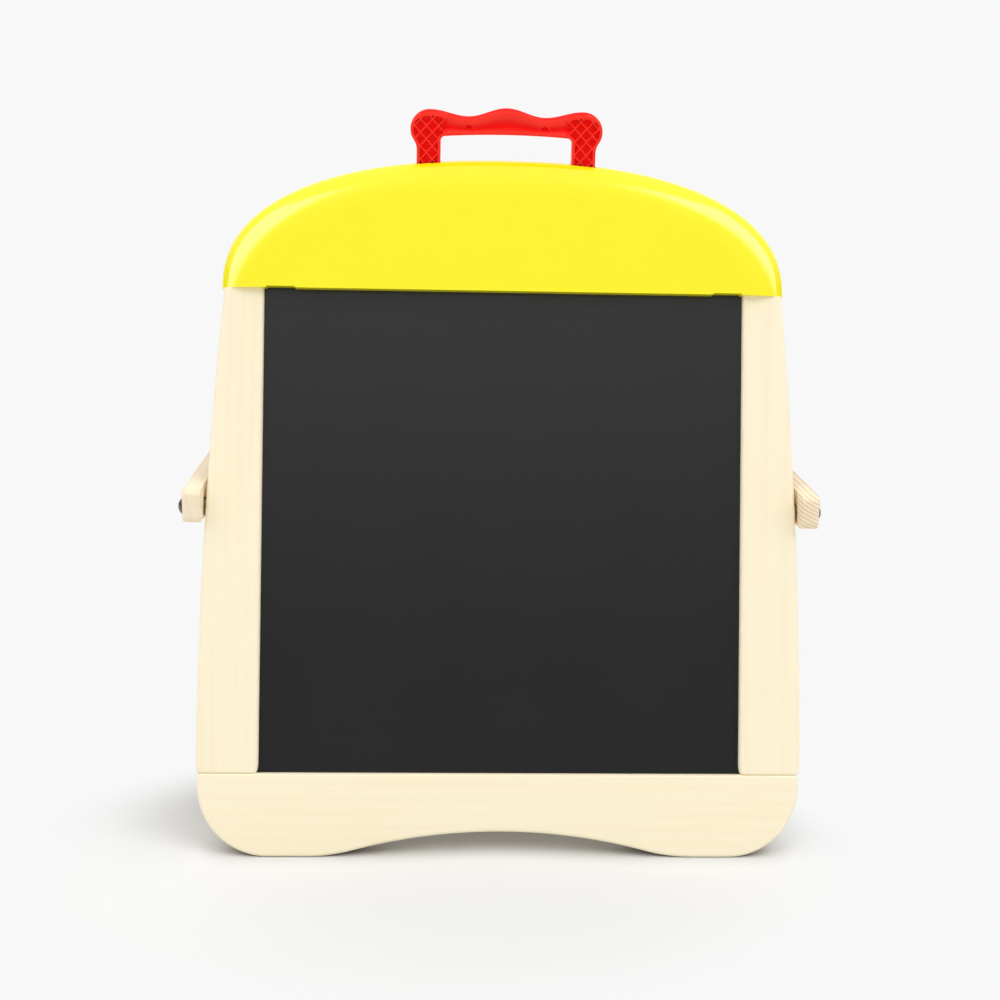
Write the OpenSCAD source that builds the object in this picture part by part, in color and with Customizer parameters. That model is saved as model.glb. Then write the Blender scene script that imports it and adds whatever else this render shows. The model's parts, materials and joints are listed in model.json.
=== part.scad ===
// Two-sided table easel for children.
// Two framed writing panels are hinged together under their arched caps and
// stand like a tent. A wooden strut on each side hooks over a catch screw on
// the rear panel and holds the two apart. A moulded carrying handle turns on
// the hinge pins between the caps.
// Millimetres, +Z up, X across the easel, the front panel faces -Y. The origin
// lies on the floor, midway between the four feet.

/* [Panels] */
// Lean of each panel from the vertical while the easel stands open, degrees
lean = 15; // [12:0.5:18]
// Thickness of the stiles and rails
stock_t = 16; // [15:0.5:19]
// Clear width of the writing surface
writing_w = 320; // [290:1:360]
// Clear height of the writing surface
writing_h = 321; // [290:1:350]
// Width of a bottom rail to each side of the writing surface
rail_end_w = 40; // [39:0.5:50]
// Height of a bottom rail
rail_h = 55; // [52:1:70]
// Radius of a rail's outer bottom corners
rail_corner_r = 47.5; // [40:0.5:50]
// Rise of the arch between the feet
arch_rise = 16.8; // [10:0.2:20]
// Radius of the arch between the feet
arch_r = 380; // [340:5:420]
// Radius that blends the arch into each foot
toe_r = 125; // [90:5:130]
// How far a stile stands out past the end of the rail
stile_step = 1; // [0:0.1:2]
// Radius of the bowed outer edge of a stile
stile_bow_r = 3450; // [3000:50:5000]
// Rounding of the edges of stiles and rails
edge_r = 2.5; // [1:0.25:3]

/* [Caps] */
// Height of an arched cap
cap_rise = 89.5; // [80:0.5:100]
// How far a cap stands out past the stiles at each end
cap_overhang = 2.5; // [1:0.1:4]
// How far a cap stands in front of the stiles
cap_proud = 4; // [2:0.25:6]
// Exponent of the cap's outline, 2 for an ellipse and more for a fuller arch
cap_fullness = 2.35; // [2:0.05:2.6]
// Radius of the cap's rounded front edge
cap_round = 13; // [8:0.5:14]
// Rounding of the cap's back edge
cap_back_r = 1.5; // [0.5:0.25:2.5]
// Length of the relief at each end of the cap's lower edge
cap_relief_w = 19; // [10:1:30]
// Height of the relief at each end of the cap's lower edge
cap_relief_h = 1.4; // [0.8:0.1:2]

/* [Writing boards] */
// Thickness of a writing board
board_t = 3.5; // [3:0.1:4.5]
// How far a writing board lies behind the front of the stiles
board_setback = 5; // [4:0.25:6]
// Depth of the grooves that hold a board
groove_depth = 6; // [4:0.5:7]

/* [Dowels] */
// Diameter of the dowels
dowel_d = 6; // [5:0.5:6.5]
// Length of a dowel
dowel_len = 28; // [20:1:34]
// Distance from the foot of a stile's outer edge to its outer dowel
dowel_edge = 11; // [9:0.5:14]
// Distance between the two dowels in the top of a stile
dowel_pitch = 8; // [7.5:0.25:8.5]

/* [Hinges] */
// Distance from the top of a cap down to the hinge axis
hinge_drop = 29.5; // [26:0.5:34]
// Gap between the two panels when they are folded together
fold_gap = 2; // [1.5:0.1:3]
// Diameter of a hinge pin
pin_d = 4; // [3.5:0.1:4.5]
// Diameter of a hinge pin's heads
pin_head_d = 6.6; // [5.5:0.1:7]
// Thickness of a hinge pin's heads
pin_head_t = 1; // [0.8:0.1:1.4]
// Outside diameter of a hinge knuckle
knuckle_d = 7.6; // [7:0.1:8.4]
// Length of one hinge knuckle
knuckle_len = 7; // [5:0.5:9]
// Thickness of a hinge leaf
leaf_t = 1.2; // [1:0.1:1.6]
// Height of the plate of a hinge leaf
leaf_h = 24; // [20:1:30]
// Distance from the hinge axis down to the plate of a leaf
leaf_drop = 10; // [8:0.5:13]
// How far a leaf lies below the back of its cap
leaf_below = 0.1; // [0.05:0.05:0.3]
// Head diameter of a hinge screw
hinge_screw_head_d = 5.6; // [5:0.1:6.4]
// Shank diameter of a hinge screw
hinge_screw_d = 2.8; // [2.4:0.1:3.4]
// Length of a hinge screw
hinge_screw_len = 12; // [8:0.5:15]

/* [Handle] */
// Thickness of the handle
handle_t = 10; // [8:0.5:11]
// Height of the handle's crest above the top of the caps
handle_stand = 35.7; // [30:0.5:45]
// Width of the handle over its two bulbs
handle_w = 128.6; // [110:0.2:145]
// How far a bulb stands out past its leg
bulb_step = 4.3; // [3.5:0.1:6]
// Width of a leg
leg_w = 16; // [14:0.5:17]
// Height of the grip at its middle
grip_h = 17.5; // [14:0.5:20]
// Radius of the bulb at each corner of the handle
bulb_r = 13; // [12:0.25:14]
// Drop from the centre of a bulb to the neck below it
neck_drop = 13.7; // [12.5:0.1:15]
// Depth of the finger dips below the crest
dip_depth = 5.7; // [3:0.1:7]
// How far the bulbs stay below the crest
bulb_drop = 1.5; // [0:0.1:3]
// Rise of the slightly arched underside of the grip
grip_arch = 1.4; // [0:0.1:2.5]
// Radius of the upper corners of the opening under the grip
opening_corner_r = 3; // [2:0.25:4]
// Width of the rim around the sunk faces of the handle
rim_w = 1.7; // [1.2:0.1:2.5]
// Depth of the sunk faces of the handle
sink_depth = 1.4; // [0.8:0.1:2]

/* [Struts] */
// Height of the strut pivots along the panel, from the foot
pivot_v = 231; // [200:1:270]
// Thickness of a strut
strut_t = 12; // [10:0.5:14]
// Height of a strut
strut_h = 23; // [20:0.5:27]
// Distance from a strut's lower edge up to its pivot
strut_pivot_up = 7.5; // [6.5:0.25:9]
// How far a strut's nose stands in front of the stile
strut_nose = 10; // [6:0.5:14]
// Length of a strut behind its catch
strut_tail = 14; // [10:0.5:18]
// Rounding of a strut's corners, seen from the side
strut_corner_r = 5; // [2:0.25:7]
// Rounding of a strut's long edges
strut_edge_r = 1.2; // [0.5:0.1:2]
// Gap between the foot of the stile and the strut
strut_stand_off = 0.4; // [0.3:0.1:1.5]

/* [Side screws] */
// Shank diameter of the pivot and catch screws
side_screw_d = 6; // [5:0.25:6.5]
// Head diameter of the pivot and catch screws
side_head_d = 11.4; // [10:0.2:12.6]
// Head height of the pivot and catch screws
side_head_h = 4.4; // [3.4:0.1:5.2]
// Width of the two slots of the cross in a screw head
cross_w = 1.3; // [1:0.1:1.6]
// How far a screw ends before the inner end of its insert
screw_short = 1; // [0.5:0.25:3]
// Depth of the flat seat around an insert
seat_depth = 0.5; // [0.3:0.1:1]
// Thickness of the washers under the screw heads
washer_t = 1; // [0.8:0.1:1.6]
// Diameter of the washers and spacers
washer_d = 12.6; // [11.8:0.2:13.4]
// Outside diameter of a threaded insert
insert_d = 9; // [8:0.25:10]
// Length of a threaded insert
insert_len = 13; // [10:0.5:16]

/* [Fits] */
// Clearance around a writing board in its grooves
board_clear = 0.25; // [0.1:0.05:0.4]
// Radial clearance of a part that turns on a pin or a screw
running_clear = 0.08; // [0.04:0.01:0.1]
// Radial clearance of fixed pins, dowels and screws
fixed_clear = 0.02; // [0.01:0.01:0.05]
// Gap between parts that pass each other
passing_gap = 0.4; // [0.3:0.05:0.6]
// Gap between a strut and the washers beside it
washer_gap = 0.1; // [0.05:0.05:0.3]
// Gap at each end of a dowel in its bore
dowel_end_gap = 1; // [0.5:0.25:2]
// Extra width of the round seat at the end of a strut's notch
notch_ease = 0.3; // [0.2:0.05:0.5]
// Extra radius of the round floor of the pocket for a handle leg
pocket_ease = 0.2; // [0.1:0.05:0.3]

/* [Hidden] */
$fn = 64;

pine = "#fdeccb";
lacquer = "#fff02e";
red_plastic = "#f5231f";
slate = "#38383a";
enamel = "#f7f8f8";
steel = "#8f9296";
brass = "#c9a552";
birch = "#e6cf9f";

// Larger than anything that is cut with it
far = 600;
// How far a cut or a joined shape reaches past the face that it meets
lap = 1;

// A panel is drawn flat: X across, Y up its slope from the foot, and Z towards
// its viewer, with the front of the stiles at zero.
rail_w = writing_w + 2*rail_end_w;
cap_v = rail_h + writing_h;
hinge_v = cap_v + cap_rise - hinge_drop;
hinge_back = stock_t + fold_gap/2;
foot_y = hinge_back*cos(lean) + hinge_v*sin(lean);
hinge_z = hinge_v*cos(lean) - hinge_back*sin(lean);
stile_foot_half = rail_w/2 + stile_step;
cap_half = stile_half(cap_v) + cap_overhang;
mid_w = -stock_t/2;
fold_angle = 2*lean;

// Half the panel's width over the stiles at a height along the slope
function stile_half(v) = stile_foot_half - stile_bow_r
    + sqrt(pow(stile_bow_r, 2) - pow(v - rail_h, 2));

// Strut and side screw positions
pivot_y = -foot_y + pivot_v*sin(lean) - mid_w*cos(lean);
pivot_z = pivot_v*cos(lean) + mid_w*sin(lean);
catch_y = -pivot_y;
strut_nose_len = strut_nose - mid_w/cos(lean);
spot_half = stile_half(pivot_v) - seat_depth;
strut_x = stile_half(pivot_v - strut_nose_len - strut_pivot_up) + strut_stand_off;
strut_out_x = strut_x + strut_t;
washer_x = strut_out_x + washer_gap;
head_x = washer_x + washer_t;
insert_x = spot_half - insert_len;

// Turn of a strut for one degree of fold, which brings it along the stile
strut_ratio = (90 - lean)/fold_angle;
// Way in which a catch leaves its notch, seen from the strut
exit_way = catch_seen(fold_angle/20) - catch_seen(0);
exit_angle = atan2(-exit_way[1], -exit_way[0]);

function turned(p, a) = [p[0]*cos(a) + p[1]*sin(a), p[1]*cos(a) - p[0]*sin(a)];

// Place of a catch about the strut pivot in the strut's frame, after some fold
function catch_seen(fold) =
    turned([0, hinge_z] + turned([catch_y, pivot_z - hinge_z], fold) - [pivot_y, pivot_z],
        fold*strut_ratio);

// Hinge positions across the easel
leg_out = handle_w/2 - bulb_step;
leg_in = leg_out - leg_w;
rear_knuckle_in = leg_in - passing_gap - knuckle_len;
front_knuckle_in = leg_out + passing_gap;
front_knuckle_out = front_knuckle_in + knuckle_len;
leaf_sink = leaf_t + leaf_below;

// Handle heights above the hinge axis
crest_z = hinge_drop + handle_stand;
grip_under_z = crest_z - grip_h - grip_arch;
bulb_x = handle_w/2 - bulb_r;
bulb_z = crest_z - bulb_drop - bulb_r;
dip_x = bulb_x/2;
eye_d = 0.94*handle_t;
leg_end_z = 0.3*handle_t;
sink_from = hinge_drop - handle_t;
neck_z = bulb_z - neck_drop;
neck_r = (pow(neck_drop, 2) + pow(bulb_r - bulb_step, 2) - pow(bulb_r, 2))/(2*bulb_step);

// ---------- helpers ----------

function unit(v) = v/norm(v);

// Outline moved inwards by e, with mitred corners; the points run anticlockwise
function inset(p, e) = [for (i = [0 : len(p) - 1])
    let (n = len(p), d = unit(p[i] - p[(i + n - 1) % n]), f = unit(p[(i + 1) % n] - p[i]),
         m = [-d[1], d[0]], k = [-f[1], f[0]])
    p[i] + e*(m + k)/(1 + m*k)];

function arc(c, r, from, to, n) = [for (i = [0 : n])
    let (a = from + (to - from)*i/n) c + r*[cos(a), sin(a)]];

function mirrored(p) = [for (i = [len(p) - 1 : -1 : 0]) [-p[i][0], p[i][1]]];

// All points but the first, for a stretch that starts where the last one ended
function rest(p) = [for (i = [1 : len(p) - 1]) p[i]];

// Depths and insets of the rings of a quarter-round edge at the back and at the front
function edge_levels(back, front, back_r, front_r, steps) = concat(
    [for (i = [0 : 2]) [back_r*(1 - sin(45*i)), back + back_r*(1 - cos(45*i))]],
    [for (i = [0 : steps]) [front_r*(1 - cos(90*i/steps)), front - front_r*(1 - sin(90*i/steps))]]);

// Skin of a stack of rings of n points each, with its first and last ring as flat faces
module ring_stack(rings, n) {
    last = (len(rings) - 1)*n;
    polyhedron(
        points = [for (r = rings) each r],
        faces = concat(
            [[for (i = [0 : n - 1]) i]],
            [[for (i = [n - 1 : -1 : 0]) last + i]],
            [for (k = [0 : len(rings) - 2], i = [0 : n - 1])
                let (j = (i + 1) % n) each [[k*n + i, (k + 1)*n + i, (k + 1)*n + j],
                    [k*n + i, (k + 1)*n + j, k*n + j]]]),
        convexity = 4);
}

// Board of the given outline between two levels, with quarter-round edges all round; the
// outline runs anticlockwise and starts at a convex corner
module rounded_board(p, back, front, back_r, front_r, steps) {
    ring_stack([for (l = edge_levels(back, front, back_r, front_r, steps))
        [for (q = inset(p, l[0])) [q[0], q[1], l[1]]]], len(p));
}

// Like inset, for a path whose ends stay on one level: they move straight across
function path_inset(p, e) = let (n = len(p), all = inset(p, e))
    [for (i = [0 : n - 1]) i == 0 || i == n - 1 ? p[i] - [sign(p[i][0])*e, 0] : all[i]];

// Board with one straight side, which joins the ends of the path and stays sharp
module flat_sided_board(path, back, front, back_r, front_r, steps) {
    ring_stack([for (l = edge_levels(back, front, back_r, front_r, steps))
        [for (q = path_inset(path, l[0])) [q[0], q[1], l[1]]]], len(path));
}

// Stands a flat panel up at its lean, in front
module front_place() {
    translate([0, -foot_y, 0]) rotate([90 - lean, 0, 0]) children();
}

// The same behind, facing the other way
module rear_place() {
    mirror([0, 1, 0]) front_place() children();
}

module both_sides() {
    for (side = [0, 1]) mirror([side, 0, 0]) children();
}

// Turns world-aligned shapes into a flat panel's frame
module upright() {
    rotate([lean - 90, 0, 0]) children();
}

// Cylinder along X, turned so that its seam lies clear of level, upright and leaning faces
module rod(from, to, d) {
    seam_turn = 40;
    translate([from, 0, 0]) rotate([seam_turn, 0, 0]) rotate([0, 90, 0])
        cylinder(h = to - from, d = d);
}

module ring(from, to, d, hole) {
    difference() {
        rod(from, to, d);
        rod(from - lap, to + lap, hole);
    }
}

// ---------- panel pieces, drawn flat ----------

// Groove for a board along one edge of the writing opening
module board_groove() {
    half = writing_w/2 + groove_depth;
    translate([-half, rail_h - groove_depth, -board_setback - board_t - board_clear])
        cube([2*half, writing_h + 2*groove_depth, board_t + 2*board_clear]);
}

module dowel_rows(extra_d, extra_len) {
    inner = writing_w/2 + groove_depth + dowel_d;
    joints = [[rail_h, inner], [rail_h, stile_foot_half - dowel_edge],
              [cap_v, inner], [cap_v, inner + dowel_pitch]];
    both_sides() for (j = joints)
        translate([j[1], j[0] - dowel_len/2 - extra_len, mid_w]) rotate([-90, 0, 0])
            cylinder(h = dowel_len + 2*extra_len, d = dowel_d + extra_d);
}

module dowel_bores() {
    dowel_rows(2*fixed_clear, dowel_end_gap);
}

// Half of the cap's outline, from its end up to its crown
function cap_arch(steps) = [for (i = [0 : steps])
    let (a = 90*i/steps)
    [cap_half*pow(cos(a), 2/cap_fullness), cap_v + cap_rise*pow(sin(a), 2/cap_fullness)]];

module cap_blank() {
    right = cap_arch(32);
    left = mirrored([for (i = [0 : len(right) - 2]) right[i]]);
    flat_sided_board(concat(right, left), -stock_t, cap_proud, cap_back_r, cap_round, 8);
}

// Room for a hinge leaf and its knuckle; ear_in is where the knuckle starts
module leaf_recess(ear_in) {
    ear_gap = passing_gap/2;
    both_sides() {
        translate([rear_knuckle_in - ear_gap, hinge_v - leaf_drop - leaf_h - ear_gap, -stock_t - lap])
            cube([front_knuckle_out - rear_knuckle_in + 2*ear_gap, leaf_h + 2*ear_gap, leaf_sink + lap]);
        translate([ear_in - ear_gap, hinge_v - leaf_drop - lap, -stock_t - lap])
            cube([knuckle_len + 2*ear_gap, leaf_drop + lap, leaf_sink + lap]);
    }
}

// Section of a pocket for a handle leg about the hinge axis: round below and open above
module leg_pocket_section() {
    half = handle_t/2 + passing_gap;
    circle(half + pocket_ease);
    translate([-half, lap]) square([far, far]);
}

// Everything that is cut from the back of a cap for hinge, handle and stop
module cap_back_cuts(ear_in) {
    barrel_gap = 1.5*passing_gap;
    leaf_recess(ear_in);
    translate([0, hinge_v, -hinge_back]) {
        both_sides()
            rod(rear_knuckle_in - pin_head_t - barrel_gap, front_knuckle_out + pin_head_t + barrel_gap,
                knuckle_d + 2*barrel_gap);
        upright() {
            translate([-far/2, -passing_gap/2, 0]) cube([far, far, far]);
            both_sides() translate([leg_in - passing_gap, 0, 0]) rotate([90, 0, 90])
                linear_extrude(leg_w + 2*passing_gap) leg_pocket_section();
        }
    }
}

// Relief cut along the lower edge of a cap, beside each stile
module cap_reliefs() {
    both_sides() translate([writing_w/2 - cap_relief_w, cap_v - lap, -board_setback - board_t])
        cube([cap_relief_w, cap_relief_h + lap, far]);
}

module cap(ear_in) {
    difference() {
        cap_blank();
        board_groove();
        dowel_bores();
        cap_reliefs();
        cap_back_cuts(ear_in);
        leaf_screw_bores();
    }
}

module right_stile() {
    inner = writing_w/2;
    steps = 14;
    edge = [for (i = [-1 : steps + 1]) let (v = rail_h + writing_h*i/steps) [stile_half(v), v]];
    first = edge[0][1];
    final = edge[len(edge) - 1][1];
    difference() {
        intersection() {
            rounded_board(concat([[inner, first]], edge, [[inner, final]]),
                -stock_t, 0, edge_r, edge_r, 3);
            translate([0, rail_h, -far/2]) cube([far, writing_h, far]);
        }
        board_groove();
        dowel_bores();
        translate([0, pivot_v, mid_w]) {
            rod(insert_x, far, insert_d + 2*fixed_clear);
            rod(spot_half, far, washer_d + 2*passing_gap);
        }
    }
}

module left_stile() {
    mirror([1, 0, 0]) right_stile();
}

// Outline of a bottom rail, from the crown of its arch to its right end
function rail_half_outline() =
    let (top = arch_rise - arch_r,
         toe_x = sqrt(pow(arch_r + toe_r, 2) - pow(toe_r - top, 2)),
         swing = asin(toe_x/(arch_r + toe_r)),
         corner_x = rail_w/2 - rail_corner_r)
    concat(
        arc([0, top], arch_r, 90, 90 - swing, 10),
        rest(arc([toe_x, toe_r], toe_r, 270 - swing, 270, 6)),
        arc([corner_x, rail_corner_r], rail_corner_r, 270, 360, 14),
        [[rail_w/2, rail_h]]);

module bottom_rail() {
    right = rail_half_outline();
    left = mirrored(rest(right));
    difference() {
        flat_sided_board(concat(left, right), -stock_t, 0, edge_r, edge_r, 4);
        upright() translate([-far/2, -far/2, -far]) cube([far, far, far]);
        board_groove();
        dowel_bores();
    }
}

module board() {
    grip = groove_depth - board_clear;
    translate([-writing_w/2 - grip, rail_h - grip, -board_setback - board_t])
        cube([writing_w + 2*grip, writing_h + 2*grip, board_t]);
}

// ---------- hinges ----------

// Two hinge leaves in a flat panel's frame; ear_in is where the knuckle starts
module hinge_leaves(ear_in) {
    floor_w = -stock_t + leaf_sink;
    both_sides() difference() {
        union() {
            translate([rear_knuckle_in, hinge_v - leaf_drop - leaf_h, floor_w - leaf_t])
                cube([front_knuckle_out - rear_knuckle_in, leaf_h, leaf_t]);
            translate([ear_in, hinge_v - leaf_drop - lap, floor_w - leaf_t])
                cube([knuckle_len, leaf_drop + lap, leaf_t]);
            translate([0, hinge_v, -hinge_back]) rod(ear_in, ear_in + knuckle_len, knuckle_d);
        }
        translate([0, hinge_v, -hinge_back]) rod(0, far/2, pin_d + 2*running_clear);
        leaf_screws(2*fixed_clear, lap);
    }
}

// Places its child at every screw of a pair of leaves, seated in the leaf
module leaf_screw_places() {
    inset_u = hinge_screw_head_d;
    low_v = hinge_v - leaf_drop - leaf_h + hinge_screw_head_d;
    high_v = hinge_v - leaf_drop - hinge_screw_head_d;
    mid_u = (rear_knuckle_in + front_knuckle_out)/2;
    spots = [[rear_knuckle_in + inset_u, low_v], [front_knuckle_out - inset_u, low_v], [mid_u, high_v]];
    both_sides() for (s = spots)
        translate([s[0], s[1], -stock_t + leaf_sink - leaf_t]) children();
}

// Countersunk screws with their heads flush with the leaf
module leaf_screws(extra_d, above) {
    head_h = (hinge_screw_head_d - hinge_screw_d)/2;
    leaf_screw_places() {
        cylinder(h = head_h, d1 = hinge_screw_head_d + extra_d, d2 = hinge_screw_d + extra_d);
        cylinder(h = hinge_screw_len, d = hinge_screw_d + extra_d);
        translate([0, 0, -above]) cylinder(h = above, d = hinge_screw_head_d + extra_d);
    }
}

module leaf_screw_bores() {
    leaf_screws(2*fixed_clear, 0);
}

module leaf_screw_set() {
    slot_w = hinge_screw_head_d/7;
    slot_d = 0.32*hinge_screw_d;
    difference() {
        leaf_screws(0, 0);
        leaf_screw_places() for (a = [0, 90]) rotate([0, 0, a])
            translate([-hinge_screw_head_d/3, -slot_w/2, -lap])
                cube([hinge_screw_head_d*2/3, slot_w, slot_d + lap]);
    }
}

module hinge_pin_set() {
    from = rear_knuckle_in - pin_head_t;
    to = front_knuckle_out + pin_head_t;
    translate([0, 0, hinge_z]) both_sides() {
        rod(from, to, pin_d);
        rod(from, from + pin_head_t - passing_gap/2, pin_head_d);
        rod(to - pin_head_t + passing_gap/2, to, pin_head_d);
    }
}

// ---------- handle, drawn flat about the hinge axis ----------

// Height of the grip's top edge, two smooth waves between crest, dip and bulb
function grip_top(x) = let (low = crest_z - dip_depth, high = bulb_z + bulb_r)
    x < dip_x ? (crest_z + low)/2 + dip_depth/2*cos(180*x/dip_x)
              : (low + high)/2 - (high - low)/2*cos(180*(x - dip_x)/(bulb_x - dip_x));

function handle_right_outline() =
    let (neck = [leg_out + neck_r, neck_z],
         meet = atan2(bulb_z - neck_z, bulb_x - neck[0]))
    concat(
        [[leg_out, leg_end_z]],
        arc(neck, neck_r, 180, meet, 5),
        arc([bulb_x, bulb_z], bulb_r, meet - 168, 78, 10),
        [for (i = [0 : 15]) let (x = bulb_x*(1 - i/16)) [x, grip_top(x)]]);

function handle_under_right() =
    let (r = opening_corner_r, n = 4)
    concat(
        [for (i = [0 : n]) let (x = (leg_in - r)*i/n)
            [x, grip_under_z + grip_arch*(1 - pow(i/n, 2))]],
        arc([leg_in - r, grip_under_z - r], r, 80, 0, 4),
        [[leg_in, leg_end_z]]);

function handle_outline() =
    let (right = handle_right_outline(), under = handle_under_right())
    concat(right, [[0, crest_z]], mirrored(right),
           mirrored(rest(under)), under);

// Recessed outline of each handle face inside its rim, down to the end of the legs
module sunk_face() {
    linear_extrude(handle_t) intersection() {
        polygon(inset(handle_outline(), rim_w));
        translate([-handle_w, sink_from]) square([2*handle_w, crest_z]);
    }
}

module carry_handle() {
    color(red_plastic) translate([0, 0, hinge_z]) difference() {
        union() {
            rotate([90, 0, 0]) translate([0, 0, -handle_t/2])
                linear_extrude(handle_t) polygon(handle_outline());
            both_sides() rod(leg_in, leg_out, eye_d);
        }
        both_sides() rod(leg_in - lap, leg_out + lap, pin_d + 2*running_clear);
        for (side = [0, 1]) mirror([0, side, 0]) rotate([90, 0, 0])
            translate([0, 0, handle_t/2 - sink_depth]) sunk_face();
    }
}

// ---------- struts ----------

module rounded_rect(size, r) {
    translate([r, 0]) square([size[0] - 2*r, size[1]]);
    translate([0, r]) square([size[0], size[1] - 2*r]);
    for (x = [r, size[0] - r], y = [r, size[1] - r]) translate([x, y]) circle(r);
}

// Slanted notch that hooks over the catch screw
module catch_notch() {
    wide = side_screw_d + 2*passing_gap;
    translate([0, 2*catch_y, 0]) {
        rod(-far/2, far/2, wide + notch_ease);
        rotate([exit_angle + 180, 0, 0]) translate([-far/2, 0, -wide/2]) cube([far, far/2, wide]);
    }
}

// Right strut about its pivot: X out, Y back and Z up
module strut_shape() {
    long = strut_nose_len + 2*catch_y + strut_tail;
    low = [strut_x, -strut_nose_len, -strut_pivot_up];
    difference() {
        intersection() {
            translate([strut_x, 0, 0]) rotate([90, 0, 90]) linear_extrude(strut_t)
                translate([low[1], low[2]]) rounded_rect([long, strut_h], strut_corner_r);
            translate([low[0], low[1], low[2]]) linear_extrude(strut_h)
                rounded_rect([strut_t, long], strut_edge_r);
            translate([low[0], low[1] + long, low[2]]) rotate([90, 0, 0]) linear_extrude(long)
                rounded_rect([strut_t, strut_h], strut_edge_r);
        }
        rod(0, far, side_screw_d + 2*running_clear);
        catch_notch();
    }
}

module right_strut() {
    color(pine) translate([0, pivot_y, pivot_z]) strut_shape();
}

module left_strut() {
    mirror([1, 0, 0]) right_strut();
}

// ---------- side screws, about their own axis ----------

module cross_recess(depth) {
    arm = side_head_d*0.5;
    for (a = [0, 90]) rotate([a, 0, 0])
        translate([-depth, -arm/2, -cross_w/2]) cube([depth + lap, arm, cross_w]);
}

// Domed head: a low rim under a crown of circular section
module screw_head() {
    rim = side_head_h*0.3;
    crown = side_head_h - rim;
    dome_r = (pow(side_head_d/2, 2) + pow(crown, 2))/(2*crown);
    spread = asin(side_head_d/2/dome_r);
    dome = [for (i = [0 : 7]) let (a = spread*(1 - i/7))
        [dome_r*sin(a), side_head_h - dome_r*(1 - cos(a))]];
    translate([head_x, 0, 0]) rotate([0, 90, 0])
        rotate_extrude() polygon(concat([[0, 0], [side_head_d/2, 0]], dome));
}

module side_screws() {
    both_sides() difference() {
        union() {
            screw_head();
            rod(insert_x + screw_short, head_x + side_head_h*0.1, side_screw_d);
        }
        translate([head_x + side_head_h, 0, 0]) cross_recess(side_head_h*0.5);
    }
}

module side_washers() {
    both_sides() ring(washer_x, head_x, washer_d, side_screw_d + 2*running_clear);
}

module side_spacers() {
    both_sides() ring(spot_half, strut_x - washer_gap, washer_d, side_screw_d + 2*running_clear);
}

module side_inserts() {
    both_sides() ring(insert_x, spot_half, insert_d, side_screw_d + 2*fixed_clear);
}

module at_pivots() {
    translate([0, pivot_y, pivot_z]) children();
}

module at_catches() {
    translate([0, catch_y, pivot_z]) children();
}

// ---------- nodes ----------

color(lacquer) front_place() cap(front_knuckle_in);  // front_cap
color(lacquer) rear_place() cap(rear_knuckle_in);  // rear_cap
color(pine) front_place() left_stile();  // front_left_stile
color(pine) front_place() right_stile();  // front_right_stile
color(pine) rear_place() left_stile();  // rear_left_stile
color(pine) rear_place() right_stile();  // rear_right_stile
color(pine) front_place() bottom_rail();  // front_bottom_rail
color(pine) rear_place() bottom_rail();  // rear_bottom_rail
color(slate) front_place() board();  // chalkboard
color(enamel) rear_place() board();  // whiteboard
color(birch) front_place() dowel_rows(0, 0);  // front_dowels
color(birch) rear_place() dowel_rows(0, 0);  // rear_dowels
color(steel) front_place() hinge_leaves(front_knuckle_in);  // front_hinge_leaves
color(steel) rear_place() hinge_leaves(rear_knuckle_in);  // rear_hinge_leaves
color(steel) hinge_pin_set();  // hinge_pins
color(steel) front_place() leaf_screw_set();  // front_hinge_screws
color(steel) rear_place() leaf_screw_set();  // rear_hinge_screws
carry_handle();
left_strut();
right_strut();
color(steel) at_pivots() side_screws();  // pivot_screws
color(steel) at_pivots() side_washers();  // pivot_washers
color(steel) at_pivots() side_spacers();  // pivot_spacers
color(brass) at_pivots() side_inserts();  // pivot_inserts
color(steel) at_catches() side_screws();  // catch_screws
color(steel) at_catches() side_washers();  // catch_washers
color(steel) at_catches() side_spacers();  // catch_spacers
color(brass) at_catches() side_inserts();  // catch_inserts
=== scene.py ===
"""Kids tabletop easel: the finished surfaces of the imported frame.

A panel is drawn flat, as it lies on a bench: u runs across it, v up its slope from the foot and
w towards its viewer, with the front of the stiles at w = 0. stand() sets it up in the frame.
"""
import json
import math

import bmesh
import bpy
import numpy as np
from mathutils import Matrix, Vector
from mathutils.geometry import delaunay_2d_cdt


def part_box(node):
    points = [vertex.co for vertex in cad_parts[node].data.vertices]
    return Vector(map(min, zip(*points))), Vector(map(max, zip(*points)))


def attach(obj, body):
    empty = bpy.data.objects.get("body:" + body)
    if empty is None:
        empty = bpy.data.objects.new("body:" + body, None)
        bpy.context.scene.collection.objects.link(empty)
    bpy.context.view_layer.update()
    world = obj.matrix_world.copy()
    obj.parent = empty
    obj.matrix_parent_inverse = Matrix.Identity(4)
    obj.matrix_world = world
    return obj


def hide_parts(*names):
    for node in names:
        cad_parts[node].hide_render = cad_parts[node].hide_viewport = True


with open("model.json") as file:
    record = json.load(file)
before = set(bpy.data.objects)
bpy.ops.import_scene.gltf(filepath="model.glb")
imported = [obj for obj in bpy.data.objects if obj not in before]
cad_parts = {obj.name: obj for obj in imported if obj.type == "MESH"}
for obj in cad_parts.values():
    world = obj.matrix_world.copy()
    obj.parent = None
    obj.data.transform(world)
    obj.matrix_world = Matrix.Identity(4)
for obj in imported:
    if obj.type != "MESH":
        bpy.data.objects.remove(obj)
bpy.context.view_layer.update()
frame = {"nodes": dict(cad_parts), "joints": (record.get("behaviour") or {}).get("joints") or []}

# ---------- sizes, in metres ----------

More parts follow.
